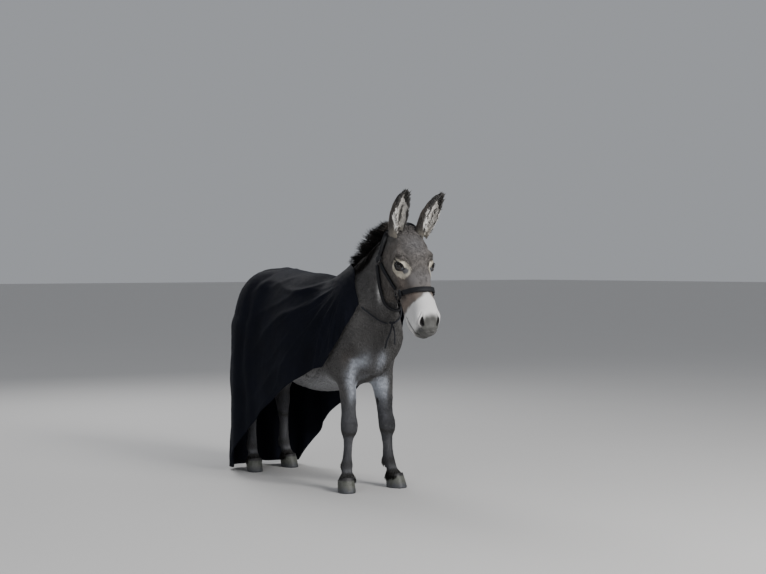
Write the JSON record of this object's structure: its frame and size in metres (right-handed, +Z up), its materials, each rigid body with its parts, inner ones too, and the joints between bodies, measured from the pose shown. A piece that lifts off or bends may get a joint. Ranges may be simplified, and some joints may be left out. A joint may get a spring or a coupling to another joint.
{
  "type": "donkey",
  "caption": "Still life-size miniature donkey standing on four hooves, grey with a pale muzzle, in a plain halter and a long cape tied at the chest.",
  "frame": {"origin": "middle of the footprint box, on the floor under the hooves", "axes": "+Z up; the donkey faces -Y and its left side is +X"},
  "size_m": [0.3877, 1.2693, 1.126],
  "materials": {
    "coat": "short mouse-grey coat, paler on the muzzle, belly and round the eyes",
    "dark_hair": "dark brown-black mane and tail hair",
    "eye": "wet dark brown eye",
    "horn": "pale grey-brown hoof horn",
    "webbing": "black flat webbing",
    "fittings": "dulled dark metal",
    "cape_cloth": "plain dark blue-black woven cloth"
  },
  "bodies": {
    "root": {"trunk": "coat", "neck": "coat", "head": "coat", "ear_left": "coat", "ear_right": "coat", "foreleg_left": "coat", "foreleg_right": "coat", "hindleg_left": "coat", "hindleg_right": "coat", "mane": "dark_hair", "tail": "dark_hair", "eye_left": "eye", "eye_right": "eye", "fore_left_hoof": "horn", "fore_right_hoof": "horn", "hind_left_hoof": "horn", "hind_right_hoof": "horn", "halter_crown": "webbing", "halter_noseband": "webbing", "halter_chin_strap": "webbing", "halter_throatlatch": "webbing", "halter_cheek_left": "webbing", "halter_cheek_right": "webbing", "halter_buckle_left": "fittings", "halter_buckle_right": "fittings", "halter_ring_left": "fittings", "halter_ring_right": "fittings", "cape": "cape_cloth", "cape_tie_left": "cape_cloth", "cape_tie_right": "cape_cloth", "cape_tail_left": "cape_cloth", "cape_tail_right": "cape_cloth", "cape_knot": "cape_cloth"}
  },
  "joints": []
}
